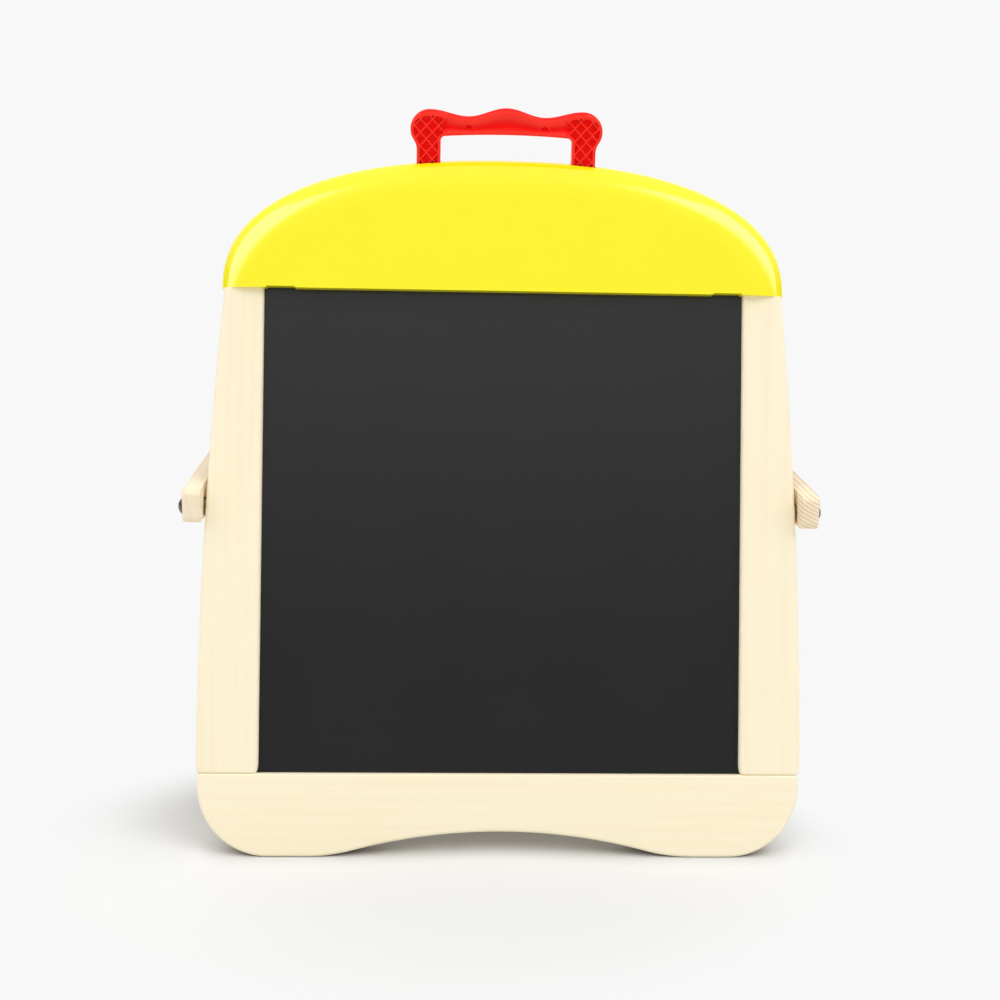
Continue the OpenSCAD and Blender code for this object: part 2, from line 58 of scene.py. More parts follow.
MM = 0.001
JOINTS = {j["name"]: j for j in frame["joints"]}
LEAN = math.radians(JOINTS["fold"]["range_deg"][1] / 2)
HINGE_Z = JOINTS["fold"]["pos_m"][2]
SMOOTH_BELOW = math.radians(32)
STOCK = 16 * MM
HINGE_BACK = STOCK + 1 * MM
HINGE_V = (HINGE_Z + HINGE_BACK * math.sin(LEAN)) / math.cos(LEAN)
FOOT_Y = HINGE_BACK * math.cos(LEAN) + HINGE_V * math.sin(LEAN)
EDGE_R = 2.5 * MM
PASSING_GAP = 0.4 * MM
CUT_PAST = 1 * MM
CUT_CLEAR = 50 * MM

RAIL_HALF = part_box("front_bottom_rail")[1].x
RAIL_H = 55 * MM
RAIL_CORNER_R = 47.5 * MM
ARCH_RISE = 16.8 * MM
ARCH_R = 380 * MM
TOE_R = 125 * MM

WRITING_HALF = 160 * MM
WRITING_H = 321 * MM
STILE_FOOT_HALF = RAIL_HALF + 1 * MM
STILE_BOW_R = 3450 * MM
STILE_END_LEN = 7 * MM
STILE_END_IN = 1.8 * MM
STILE_END_DROP = 1.1 * MM
RAIL_TOP_R = 2.6 * MM
BOARD_FACE_W = -5 * MM
BOARD_BACK_W = BOARD_FACE_W - 3.5 * MM
GROOVE_DEEP_IN = 6 * MM
GROOVE_SLACK = 0.25 * MM

CAP_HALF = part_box("front_cap")[1].x
CAP_V = RAIL_H + WRITING_H
CAP_RISE = 89.5 * MM
CAP_PROUD = 4 * MM
CAP_FULLNESS = 2.35
CAP_ROUND_IN = 25 * MM
CAP_ROUND_DEEP = 13 * MM
CAP_BACK_R = 1.5 * MM
RELIEF_W = 19 * MM
RELIEF_FROM = WRITING_HALF - 1.8 * MM
RELIEF_H = 0.9 * MM
BARREL_R = 4.4 * MM
BARREL_PAST_LEG = 9 * MM
POCKET_ROUND_MORE = 0.2 * MM
POCKET_UP = 200 * MM

HANDLE_T = 10 * MM
LEG_IN = 44 * MM
LEG_OUT = 60 * MM
CREST = 65.2 * MM
DIP = 5.7 * MM
BULB_R = 13 * MM
NECK_BELOW_BULB = 13.7 * MM
BULB_SKIP_DEG = 12, 6
BULB_X = 51.3 * MM
BULB_Z = CREST - 1.5 * MM - BULB_R
GRIP_H = 17.5 * MM
GRIP_ARCH = 1.4 * MM
UNDER_Z = CREST - GRIP_H - GRIP_ARCH
OPENING_R = 3 * MM
OPENING_SKIP_DEG = 10
LEG_END = 3 * MM
EYE_R = 4.7 * MM
PIN_BORE_R = 2.08 * MM
SIDE_EDGE_R = 1.3 * MM
TOP_EDGE_R = 4.0 * MM
RIM_W = 0.5 * MM
PIT_DEEP = 2.4 * MM
# Painted highlight: the band off the handle's middle plane over which the raised rim and ribs turn to the
# lighter colour.
PAINTED_HIGHLIGHT_BAND = 3.2 * MM, 4.9 * MM
GROOVE_DEEP = 1.6 * MM
LATTICE_FROM = 19.5 * MM
DIAMOND = np.array([8.0, 8.7]) * MM
CROSSING = np.array([53.6, 52.8]) * MM
RIB_HALF = 0.40 * MM
RIB_SLOPE_W = 0.34 * MM
RIB_BELOW_RIM = 0.15 * MM
PIT_WALL_W = 0.55 * MM
GRIP_TO_PIT = 37 * MM, 45 * MM
RIBS_FROM = 40.4 * MM, 41.6 * MM
CHEVRON = np.array([25.5, 55.3]) * MM
CHEVRON_SLOPE, CHEVRON_COS = 1.07, 0.68
CHEVRON_H = 0.5 * MM
CHEVRON_DENT = 0.8 * MM
FACE_STEP = 0.30 * MM

STRUT_CORNER_R = 5 * MM
STRUT_EDGE_R = 1.2 * MM
STRUT_BORE_R = 3.08 * MM
CATCH_SEAT_R = 3.55 * MM
CATCH_MOUTH_HALF = 3.4 * MM
CATCH_MOUTH_REACH = 60 * MM

HEAD_R = 5.7 * MM
HEAD_H = 4.4 * MM
HEAD_RIM_SHARE = 0.3
DRIVER_HALF = 0.7 * MM
DRIVER_ARM = 2.7 * MM
DRIVER_DEEP = 2.0 * MM
DRIVER_FLANK_W = 0.35 * MM
DRIVER_TIP_W = 0.9 * MM
SHANK_R = 3 * MM
SHANK_LEN = 27.2 * MM
SHANK_INTO_HEAD = 0.5 * MM


def stile_half(v):
    """Half width over the stiles: a shallow circular bow that is widest at the top of the rail."""
    return STILE_FOOT_HALF - STILE_BOW_R + np.sqrt(STILE_BOW_R ** 2 - (v - RAIL_H) ** 2)


def stand(flat, side):
    """Flat points (u, v, w) stood up at LEAN from the foot; side -1 is the front, 1 the rear."""
    u, v, w = np.asarray(flat, float).T
    y = -FOOT_Y + v * math.sin(LEAN) - w * math.cos(LEAN)
    z = v * math.cos(LEAN) + w * math.sin(LEAN)
    return np.column_stack([u, -side * y, z])


# ---------- meshes ----------

def new_piece(name, points, faces):
    """A mesh object at the origin, with doubled points merged and every face turned outwards."""
    mesh = bpy.data.meshes.new(name)
    mesh.from_pydata(np.asarray(points, float).tolist(), [], faces)
    settle(mesh)
    piece = bpy.data.objects.new(name, mesh)
    bpy.context.scene.collection.objects.link(piece)
    return piece


def settle(mesh):
    """Doubled points merged, and then every face turned outwards."""
    bm = bmesh.new()
    bm.from_mesh(mesh)
    bmesh.ops.remove_doubles(bm, verts=bm.verts, dist=1e-6)
    bmesh.ops.recalc_face_normals(bm, faces=bm.faces)
    bm.to_mesh(mesh)
    bm.free()


def finish_piece(piece, material, body, replaced):
    """Soft shading below an angle, then the material, the body it rides on and what it stands for."""
    piece.data.shade_smooth()
    piece.data.set_sharp_from_angle(angle=SMOOTH_BELOW)
    piece.data.materials.clear()
    piece.data.materials.append(material)
    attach(piece, body)
    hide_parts(*replaced)


def carve(piece, cutters):
    """The piece with each cutter's volume taken out, and the cutters removed."""
    for cutter in cutters:
        cut = piece.modifiers.new("cut", "BOOLEAN")
        cut.operation = "DIFFERENCE"
        cut.solver = "EXACT"
        cut.object = cutter
    carved = bpy.data.meshes.new_from_object(piece.evaluated_get(bpy.context.evaluated_depsgraph_get()))
    piece.modifiers.clear()
    piece.data = carved
    for cutter in cutters:
        bpy.data.objects.remove(cutter)
    return piece


def trim(piece, point, normal):
    """The piece cut off flat on the side of the plane that its normal points to."""
    bm = bmesh.new()
    bm.from_mesh(piece.data)
    cut = bmesh.ops.bisect_plane(bm, geom=bm.verts[:] + bm.edges[:] + bm.faces[:], dist=1e-7,
                                 plane_co=point, plane_no=normal, clear_outer=True)
    edges = [e for e in cut["geom_cut"] if isinstance(e, bmesh.types.BMEdge)]
    bmesh.ops.contextual_create(bm, geom=edges)
    bmesh.ops.recalc_face_normals(bm, faces=bm.faces)
    bm.to_mesh(piece.data)
    bm.free()
    return piece


def grid_faces(rings, count, closed):
    """Quads between consecutive rings of count points; closed joins each ring's two ends."""
    k, i = np.meshgrid(np.arange(rings - 1), np.arange(count if closed else count - 1), indexing="ij")
    j = (i + 1) % count
    quads = [k * count + i, k * count + j, (k + 1) * count + j, (k + 1) * count + i]
    return np.stack(quads, -1).reshape(-1, 4).tolist()


def arc(centre, radius, start, stop, count):
    """Points on a circle: centre + radius (cos a, sin a), with a in degrees from start to stop."""
    a = np.radians(np.linspace(start, stop, count))
    return np.asarray(centre) + radius * np.column_stack([np.cos(a), np.sin(a)])


def circle(centre, radius):
    """A whole circle of 48 points, without its first point again at the end."""
    return arc(centre, radius, 0, 352.5, 48)


def inward(path, closed):
    """Mitred unit inset of an anticlockwise path: the sum of both sides' normals over 1 + their dot."""
    step = np.roll(path, -1, 0) - path
    ahead = step / np.linalg.norm(step, axis=1, keepdims=True)
    behind = np.roll(ahead, 1, 0)
    m = np.column_stack([-behind[:, 1], behind[:, 0]])
    k = np.column_stack([-ahead[:, 1], ahead[:, 0]])
    mitre = (m + k) / (1 + (m * k).sum(1, keepdims=True))
    if not closed:
        for end in (0, -1):
            mitre[end] = [-np.sign(path[end, 0]), 0]
    return mitre


def stacked(path, levels, closed, ease=0.0):
    """Rings of the path, each moved inwards by a level's inset at its w, with flat faces to close it.
    Where the edge faces up the inset shrinks by the share ease."""
    mitre = inward(path, closed)
    mitre[:, 1] *= 1 - ease * np.clip(-mitre[:, 1], 0, 1) ** 2
    rings = [np.column_stack([path + e * mitre, np.full(len(path), w)]) for e, w in levels]
    count, total = len(path), len(levels)
    faces = grid_faces(total, count, closed)
    faces.append(list(range(count)))
    faces.append(list(range((total - 1) * count, total * count)))
    if not closed:
        ends = [k * count for k in range(total)]
        faces.append(ends + [k * count + count - 1 for k in reversed(range(total))])
    return np.vstack(rings), faces


def quarter_levels(back, front, back_r, front_in, front_deep, steps):
    """Levels (inset, w) of a board's edge: a quarter circle at the back and a quarter ellipse in
    front, which is front_in (1 - cos a) in and front_deep (1 - sin a) below the face."""
    a = np.linspace(0, math.pi / 2, steps + 1)
    rear = np.column_stack([back_r * (1 - np.sin(a)), back + back_r * (1 - np.cos(a))])
    fore = np.column_stack([front_in * (1 - np.cos(a)), front - front_deep * (1 - np.sin(a))])
    return np.vstack([rear, fore])


def block(name, low, high, where=lambda p: p):
    """A cutter box between two corners, moved by where()."""
    corners = np.array([[x, y, z] for x in (low[0], high[0]) for y in (low[1], high[1])
                        for z in (low[2], high[2])])
    faces = [[0, 1, 3, 2], [4, 6, 7, 5], [0, 4, 5, 1], [2, 3, 7, 6], [0, 2, 6, 4], [1, 5, 7, 3]]
    return new_piece(name, where(corners), faces)


def prism_x(name, section, start, stop):
    """A cutter with the section (y, z) carried along X."""
    section = np.asarray(section, float)
    ends = [np.column_stack([np.full(len(section), x), section]) for x in (start, stop)]
    faces = grid_faces(2, len(section), True)
    faces += [list(range(len(section))), list(range(len(section), 2 * len(section)))]
    return new_piece(name, np.vstack(ends), faces)


# ---------- panels ----------

def cap_path():
    """Anticlockwise arch: a superellipse |u/a|^n + |v/b|^n = 1, from its right end to its left."""
    a = np.linspace(0, math.pi, 321)
    power = 2 / CAP_FULLNESS
    u = CAP_HALF * np.sign(np.cos(a)) * np.abs(np.cos(a)) ** power
    return np.column_stack([u, CAP_V + CAP_RISE * np.abs(np.sin(a)) ** power])


def cap_cutters(side):
    """Pockets of the handle's legs, the groove of the hinge barrels and the reliefs over the board."""
    half = HANDLE_T / 2 + PASSING_GAP
    round_r = half + POCKET_ROUND_MORE
    shoulder = math.degrees(math.acos(half / round_r))
    bowl = arc([0, HINGE_Z], round_r, 180 - shoulder, 360 + shoulder, 49)
    pocket = np.vstack([bowl, [[half, HINGE_Z + POCKET_UP], [-half, HINGE_Z + POCKET_UP]]])
    barrel = circle([0, HINGE_Z], BARREL_R)
    cutters = [board_groove(side)]
    for sign in (-1, 1):
        span = sorted([sign * (LEG_IN - PASSING_GAP), sign * (LEG_OUT + PASSING_GAP)])
        cutters.append(prism_x("pocket_cut", pocket, *span))
        span = sorted([sign * (LEG_IN - BARREL_PAST_LEG), sign * (LEG_OUT + BARREL_PAST_LEG)])
        cutters.append(prism_x("barrel_cut", barrel, *span))
        u = sorted([sign * RELIEF_FROM, sign * (RELIEF_FROM - RELIEF_W)])
        cutters.append(block("relief_cut", (u[0], CAP_V - CUT_PAST, BOARD_BACK_W),
                             (u[1], CAP_V + RELIEF_H, CUT_CLEAR), lambda p: stand(p, side)))
    return cutters


def make_cap(name, side):
    """The arch stacked from its back to its soft front edge, cut off flat halfway to the other cap."""
    levels = quarter_levels(-STOCK, CAP_PROUD, CAP_BACK_R, CAP_ROUND_IN, CAP_ROUND_DEEP, 26)
    points, faces = stacked(cap_path(), levels, False)
    cap = new_piece(name, stand(points, side), faces)
    trim(cap, (0, side * PASSING_GAP / 2, 0), (0, -side, 0))
    return carve(cap, cap_cutters(side))


def board_groove(side):
    """The space that holds the board's edges, which the cap, the rail and the stiles share."""
    half = WRITING_HALF + GROOVE_DEEP_IN
    low = (-half, RAIL_H - GROOVE_DEEP_IN, BOARD_BACK_W - GROOVE_SLACK)
    high = (half, CAP_V + GROOVE_DEEP_IN, BOARD_FACE_W + GROOVE_SLACK)
    return block("groove_cut", low, high, lambda p: stand(p, side))


def rail_path():
    """Anticlockwise outline from its top left: foot corner, toe blend and the long arch, mirrored."""
    top = ARCH_RISE - ARCH_R
    toe_x = math.sqrt((ARCH_R + TOE_R) ** 2 - (TOE_R - top) ** 2)
    swing = math.degrees(math.asin(toe_x / (ARCH_R + TOE_R)))
    corner = [RAIL_HALF - RAIL_CORNER_R, RAIL_CORNER_R]
    right = np.vstack([arc([0, top], ARCH_R, 90, 90 - swing, 41),
                       arc([toe_x, TOE_R], TOE_R, 270 - swing, 270, 17)[1:],
                       arc(corner, RAIL_CORNER_R, 270, 360, 41),
                       arc([RAIL_HALF - RAIL_TOP_R, RAIL_H - RAIL_TOP_R], RAIL_TOP_R, 0, 90, 13)])
    return np.vstack([right[:0:-1] * [-1, 1], right])


def make_rail(name, side):
    """The rail's outline stacked from back to front, with its underside cut flat on the ground."""
    levels = quarter_levels(-STOCK, 0, EDGE_R, EDGE_R, EDGE_R, 8)
    points, faces = stacked(rail_path(), levels, True, 0.5)
    rail = trim(new_piece(name, stand(points, side), faces), (0, 0, 0), (0, 0, -1))
    return carve(rail, [board_groove(side)])


def make_stile(name, side, hand):
    """A rounded rectangle carried up the slope, its outer edge following the bow. Over its last few
    millimetres above the rail it draws in by a quarter ellipse, at its sides and at its front."""
    v = RAIL_H + np.concatenate([STILE_END_LEN * np.linspace(0, 1, 17)[:-1] ** 2,
                                 np.linspace(STILE_END_LEN, CAP_V - RAIL_H, 59)])
    short = 1 - np.clip((v[:, None] - RAIL_H) / STILE_END_LEN, 0, 1)
    side_in = STILE_END_IN * (1 - np.sqrt(1 - short ** 2))
    front_in = STILE_END_DROP * np.clip(6 * short - 5, 0, 1) ** 2
    turn = np.radians(np.concatenate([np.linspace(q, q + 90, 9) for q in (-90, 0, 90, 180)]))
    unit = np.column_stack([np.cos(turn), np.sin(turn)])
    is_outer, is_front = (np.repeat([1, 1, 0, 0], 9), np.repeat([0, 1, 1, 0], 9))
    outer = stile_half(v)[:, None]
    u = np.where(is_outer, outer - EDGE_R - side_in, WRITING_HALF + EDGE_R + side_in) + EDGE_R * unit[:, 0]
    w = np.where(is_front, -EDGE_R - front_in, EDGE_R - STOCK + front_in) + EDGE_R * unit[:, 1]
    points = np.stack([hand * u, np.broadcast_to(v[:, None], u.shape),
                       np.broadcast_to(w, u.shape)], -1).reshape(-1, 3)
    count = len(turn)
    faces = grid_faces(len(v), count, True)
    faces += [list(range(count)), list(range((len(v) - 1) * count, len(v) * count))]
    return carve(new_piece(name, stand(points, side), faces), [board_groove(side)])


# ---------- handle ----------

def grip_top(x):
    """Crest in the middle, a finger dip on each side and the bulb: half cosine waves between them."""
    low, high, dip_x = CREST - DIP, BULB_Z + BULB_R, BULB_X / 2
    inner = (CREST + low) / 2 + DIP / 2 * np.cos(math.pi * x / dip_x)
    outer = (low + high) / 2 - (high - low) / 2 * np.cos(math.pi * (x - dip_x) / (BULB_X - dip_x))
    return np.where(x < dip_x, inner, outer)


def handle_path():
    """Anticlockwise outline: leg, neck, bulb, wavy crest and the arched underside of the grip. The
    arcs of the bulb and of the opening's corners stop short of their neighbours to run into them."""
    neck_z = BULB_Z - NECK_BELOW_BULB
    neck_r = (((neck_z - BULB_Z) ** 2 + (LEG_OUT - BULB_X) ** 2 - BULB_R ** 2)
              / (2 * (BULB_R - LEG_OUT + BULB_X)))
    neck = [LEG_OUT + neck_r, neck_z]
    meet = math.degrees(math.atan2(BULB_Z - neck_z, BULB_X - neck[0]))
    x = np.linspace(BULB_X, 0, 49)
    right = np.vstack([[[LEG_OUT, LEG_END]], arc(neck, neck_r, 180, meet, 11),
                       arc([BULB_X, BULB_Z], BULB_R, meet - 180 + BULB_SKIP_DEG[0],
                           90 - BULB_SKIP_DEG[1], 29),
                       np.column_stack([x, grip_top(x)])])
    x = np.linspace(0, LEG_IN - OPENING_R, 17)
    rise = GRIP_ARCH * (1 - (x / x[-1]) ** 2)
    under = np.vstack([np.column_stack([x, UNDER_Z + rise]),
                       arc([LEG_IN - OPENING_R, UNDER_Z - OPENING_R], OPENING_R,
                           90 - OPENING_SKIP_DEG, 0, 9),
                       [[LEG_IN, LEG_END]]])
    flip = [-1, 1]
    return np.vstack([right, right[-2::-1] * flip, under[:0:-1] * flip, under])


def soft_step(value, low, high):
    """3 t^2 - 2 t^3, where t runs from 0 at low to 1 at high."""
    t = np.clip((value - low) / (high - low), 0, 1)
    return t * t * (3 - 2 * t)


def edge_radius(path):
    """Rounding of the handle's edge at each outline point: fullest where the edge faces up."""
    facing_up = np.clip(-inward(path, True)[:, 1], 0, 1)
    return SIDE_EDGE_R + (TOP_EDGE_R - SIDE_EDGE_R) * facing_up ** 2


def nearest_edge(points, path, radius):
    """Distance of each point to the closed path, and the edge's rounding at the nearest place."""
    start, step = path, np.roll(path, -1, 0) - path
    away, round_r = np.full(len(points), np.inf), np.zeros(len(points))
    for a, d, r0, r1 in zip(start, step, radius, np.roll(radius, -1)):
        t = np.clip(((points - a) @ d) / (d @ d), 0, 1)
        gap = np.hypot(*(points - a - t[:, None] * d).T)
        closer = gap < away
        away[closer] = gap[closer]
        round_r[closer] = (r0 + t * (r1 - r0))[closer]
    return away, round_r


def lattice_ribs(x, z):
    """1 on the ribs of the diamond lattice: two families of level lines x / width +- z / height."""
    per_metre = np.hypot(*(1 / DIAMOND))
    nearest = np.inf
    for sign in (1, -1):
        turns = (x - CROSSING[0]) / DIAMOND[0] + sign * (z - CROSSING[1]) / DIAMOND[1]
        nearest = np.minimum(nearest, abs(turns - np.round(turns)) / per_metre)
    return 1 - soft_step(nearest, RIB_HALF, RIB_HALF + RIB_SLOPE_W)


def chevron_depth(x, z):
    """The roof-shaped mark on the grip: a raised line z = -slope |x|, with a dent below and above it."""
    a, b = abs(x - CHEVRON[0]), z - CHEVRON[1]
    below = b + CHEVRON_SLOPE * a
    line = abs(below) * CHEVRON_COS
    tick = (1 - soft_step(line, 0.25 * MM, 0.6 * MM)) * (1 - soft_step(a, 3.6 * MM, 4.4 * MM))
    under = soft_step(-below, 0.5 * MM, 0.9 * MM) * (1 - soft_step(-b, 2.6 * MM, 3.4 * MM))
    over = soft_step(b - CHEVRON_SLOPE * a, 0.2 * MM, 0.5 * MM) * (1 - soft_step(b, 1.3 * MM, 1.7 * MM))
    return CHEVRON_DENT * np.maximum(under, over * 0.6) - CHEVRON_H * tick


def face_depth(points, away, round_r):
    """How far the handle's face lies below its rim: a hollow grip between two sunk lattices."""
    x, z = abs(points[:, 0]), points[:, 1]
    wall = soft_step(away - round_r, RIM_W, RIM_W + PIT_WALL_W)
    high = grip_top(np.minimum(x, BULB_X)) - TOP_EDGE_R - RIM_W
    low = UNDER_Z + SIDE_EDGE_R + RIM_W / 2
    across = np.clip((z - (high + low) / 2) / ((high - low) / 2), -1, 1)
    hollow = GROOVE_DEEP * (1 - across ** 2) ** 2
    lattice = soft_step(x, *GRIP_TO_PIT)
    depth = (1 - lattice) * hollow + lattice * PIT_DEEP * wall
    ribs = lattice_ribs(x, z) * soft_step(x, *RIBS_FROM)
    depth = depth * (1 - ribs) + RIB_BELOW_RIM * wall * ribs + chevron_depth(x, z)
    return np.maximum(depth, 0) * soft_step(z, LATTICE_FROM - MM, LATTICE_FROM + MM)


def face_points(rim, path, radius):
    """The rim's ring and a staggered grid inside it, joined into triangles."""
    low, high = path.min(0), path.max(0)
    rows = np.arange(low[1], high[1], FACE_STEP * math.sqrt(0.75))
    columns = np.arange(low[0], high[0], FACE_STEP)
    gx, gz = np.meshgrid(columns, rows)
    gx[1::2] += FACE_STEP / 2
    grid = np.column_stack([gx.ravel(), gz.ravel()])
    away, round_r = nearest_edge(grid, path, radius)
    grid = grid[(away > round_r + 0.6 * FACE_STEP) & inside(grid, path)]
    points = np.vstack([rim, grid])
    ring = [(i, (i + 1) % len(rim)) for i in range(len(rim))]
    made = delaunay_2d_cdt([Vector(p) for p in points.tolist()], ring, [], 1, 1e-9)
    return np.array([list(p) for p in made[0]]), [list(f) for f in made[2]]


def inside(points, path):
    """Whether a ray to the right from each point crosses the closed path an odd number of times."""
    odd = np.zeros(len(points), bool)
    for (x0, z0), (x1, z1) in zip(path, np.roll(path, -1, 0)):
        spans = (points[:, 1] < z0) != (points[:, 1] < z1)
        if z0 != z1:
            odd ^= spans & (points[:, 0] < x0 + (points[:, 1] - z0) * (x1 - x0) / (z1 - z0))
    return odd


def joined(parts):
    """Several (points, faces) as one."""
    points, faces, base = [], [], 0
    for p, f in parts:
        points.append(p)
        faces += [[base + i for i in face] for face in f]
        base += len(p)
    return np.vstack(points), faces


def eye_ring(start, stop, outer, bore):
    """A tube along X: a rectangle (x, r) turned round the hinge axis."""
    a = np.linspace(0, 2 * math.pi, 48, endpoint=False)
    corner = np.array([[start, bore], [stop, bore], [stop, outer], [start, outer]])
    rings = [np.column_stack([np.full(len(a), x), r * np.cos(a), r * np.sin(a)]) for x, r in corner]
    faces = grid_faces(5, len(a), True)
    return np.vstack(rings), [[i % (4 * len(a)) for i in face] for face in faces]


def make_handle(name):
    """Handle points (x, z, w) about the hinge axis: a rounded edge, a face on each side and two eyes."""
    path = handle_path()
    mitre, radius = inward(path, True), edge_radius(path)
    half = HANDLE_T / 2
    a = np.linspace(0, math.pi / 2, 8)[:, None]
    inset, level = radius * (1 - np.cos(a)), half - radius * (1 - np.sin(a))
    rings = [np.column_stack([path + e[:, None] * mitre, w]) for e, w in zip(inset, level)]
    rings = [r * [1, 1, -1] for r in rings[::-1]] + rings
    rim = rings[-1][:, :2]
    flat, triangles = face_points(rim, path, radius)
    depth = face_depth(flat, *nearest_edge(flat, path, radius))
    parts = [(np.vstack(rings), grid_faces(len(rings), len(path), True))]
    parts += [(np.column_stack([flat, face * (half - depth)]), triangles) for face in (1, -1)]
    points, faces = joined(parts)
    upright = np.column_stack([points[:, 0], -points[:, 2], HINGE_Z + points[:, 1]])
    eyes = [eye_ring(*sorted([s * LEG_IN, s * LEG_OUT]), EYE_R, PIN_BORE_R) for s in (-1, 1)]
    eyes = [(p + [0, 0, HINGE_Z], f) for p, f in eyes]
    return new_piece(name, *joined([(upright, faces)] + eyes))


# ---------- struts and screws ----------

def turned(y, z, angle):
    """A point of the side view after a turn backwards by the angle."""
    return Vector((y * math.cos(angle) + z * math.sin(angle), z * math.cos(angle) - y * math.sin(angle)))


def notch_way(node):
    """Way in which the catch screw leaves the strut's notch when the easel starts to fold."""
    fold, turn = JOINTS["fold"]["range_deg"][1], JOINTS[node + "_turn"]["range_deg"][1]
    y, z = JOINTS[node + "_turn"]["pos_m"][1:]
    seen = []
    for share in (0.05, 0):
        catch = turned(-y, z - HINGE_Z, math.radians(fold * share)) + Vector((-y, HINGE_Z - z))
        seen.append(turned(*catch, math.radians(turn * share)))
    return (seen[0] - seen[1]).normalized()


def make_strut(name, node):
    """A board rounded at its corners and along its edges, with the pivot's bore and the catch's seat
    and open mouth cut through it."""
    low, high = (np.array(c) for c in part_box(node))
    corner_r, edge_r = STRUT_CORNER_R, STRUT_EDGE_R
    path = np.vstack([arc([y, z], corner_r, q, q + 90, 13) for y, z, q in (
        (high[1] - corner_r, low[2] + corner_r, 270), (high[1] - corner_r, high[2] - corner_r, 0),
        (low[1] + corner_r, high[2] - corner_r, 90), (low[1] + corner_r, low[2] + corner_r, 180))])
    flat, faces = stacked(path, quarter_levels(low[0], high[0], edge_r, edge_r, edge_r, 5), True)
    strut = new_piece(name, flat[:, [2, 0, 1]], faces)
    pivot = JOINTS[node + "_turn"]["pos_m"]
    catch = [-pivot[1], pivot[2]]
    span = (low[0] - CUT_PAST, high[0] + CUT_PAST)
    bore = prism_x("bore_cut", circle(pivot[1:], STRUT_BORE_R), *span)
    seat = prism_x("seat_cut", circle(catch, CATCH_SEAT_R), *span)
    way = Vector((0, *notch_way(node)))
    across = Vector((0, -way.z, way.y))
    mouth = [(0, 1), (1, 1), (1, -1), (0, -1)]
    section = [(catch[0] + t * CATCH_MOUTH_REACH * way.y + s * CATCH_MOUTH_HALF * across.y,
                catch[1] + t * CATCH_MOUTH_REACH * way.z + s * CATCH_MOUTH_HALF * across.z)
               for t, s in mouth]
    return carve(strut, [bore, seat, prism_x("mouth_cut", section, *span)])


def screw_head_height(x, y):
    """Height over the washer: a low rim under a circular dome, less a cross-shaped tapered recess."""
    rim = HEAD_RIM_SHARE * HEAD_H
    crown = HEAD_H - rim
    dome_r = (HEAD_R ** 2 + crown ** 2) / (2 * crown)
    r2 = x ** 2 + y ** 2
    dome = rim + np.sqrt(np.maximum(dome_r ** 2 - r2, 0)) - (dome_r - crown)
    along, across = np.maximum(abs(x), abs(y)), np.minimum(abs(x), abs(y))
    flank = np.clip((DRIVER_HALF - across) / DRIVER_FLANK_W, 0, 1)
    tip = np.clip((DRIVER_ARM - along) / DRIVER_TIP_W, 0, 1)
    return dome - DRIVER_DEEP * (flank * tip)


def screw_head(hand, y, z, seat_x):
    """A polar grid (r, a) raised along X by screw_head_height, closed by its flat underside."""
    r = HEAD_R * np.linspace(0.012, 1, 46) ** 0.9
    a = np.linspace(0, 2 * math.pi, 96, endpoint=False)
    rr, aa = np.meshgrid(r, a, indexing="ij")
    px, py = rr * np.cos(aa), rr * np.sin(aa)
    top = np.stack([hand * (seat_x + screw_head_height(px, py)), y + px, z + py], -1).reshape(-1, 3)
    edge = top[-len(a):].copy()
    edge[:, 0] = hand * seat_x
    count = len(a)
    faces = grid_faces(len(r) + 1, count, True)
    faces += [list(range(count)), list(range(len(r) * count, (len(r) + 1) * count))]
    return np.vstack([top, edge]), faces


def shank(hand, y, z, start, stop):
    """A closed cylinder along X, (y, z) + SHANK_R (cos a, sin a) at its two ends."""
    a = np.linspace(0, 2 * math.pi, 40, endpoint=False)
    ring = [np.column_stack([np.full(len(a), hand * x), y + SHANK_R * np.cos(a), z + SHANK_R * np.sin(a)])
            for x in (start, stop)]
    count = len(a)
    return np.vstack(ring), grid_faces(2, count, True) + [list(range(count)), list(range(count, 2 * count))]


def make_side_screws(name, node, washers):
    """Both screws of one fixing, seated on their washers and as long as the solid's own shanks."""
    low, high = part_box(node)
    y, z = (low.y + high.y) / 2, (low.z + high.z) / 2
    seat_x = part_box(washers)[1].x
    shank_from = seat_x - SHANK_LEN
    parts = []
    for hand in (-1, 1):
        parts += [screw_head(hand, y, z, seat_x),
                  shank(hand, y, z, shank_from, seat_x + SHANK_INTO_HEAD)]
    return new_piece(name, *joined(parts))


# ---------- materials ----------

def nodes_of(material):
    """The material's emptied tree with a new skin, a Principled shader, on its surface."""
    material.use_nodes = True
    tree = material.node_tree
    tree.nodes.clear()
    out = tree.nodes.new("ShaderNodeOutputMaterial")
    skin = tree.nodes.new("ShaderNodeBsdfPrincipled")
    tree.links.new(skin.outputs["BSDF"], out.inputs["Surface"])
    return tree, skin


def new_group(name, inputs, outputs):
    """A shader group with float, vector or colour sockets given as (name, kind, default)."""
    group = bpy.data.node_groups.new(name, "ShaderNodeTree")
    kinds = {"f": "NodeSocketFloat", "v": "NodeSocketVector", "c": "NodeSocketColor"}
    for label, kind, default in inputs:
        socket = group.interface.new_socket(label, in_out="INPUT", socket_type=kinds[kind])
        if default is not None:
            socket.default_value = default
    for label, kind in outputs:
        group.interface.new_socket(label, in_out="OUTPUT", socket_type=kinds[kind])
    return group, group.nodes.new("NodeGroupInput"), group.nodes.new("NodeGroupOutput")


def math_node(tree, operation, *values):
    """One step of arithmetic on numbers or sockets."""
    node = tree.nodes.new("ShaderNodeMath")
    node.operation = operation
    for socket, value in zip(node.inputs, values):
        if isinstance(value, bpy.types.NodeSocket):
            tree.links.new(value, socket)
        else:
            socket.default_value = value
    return node.outputs[0]


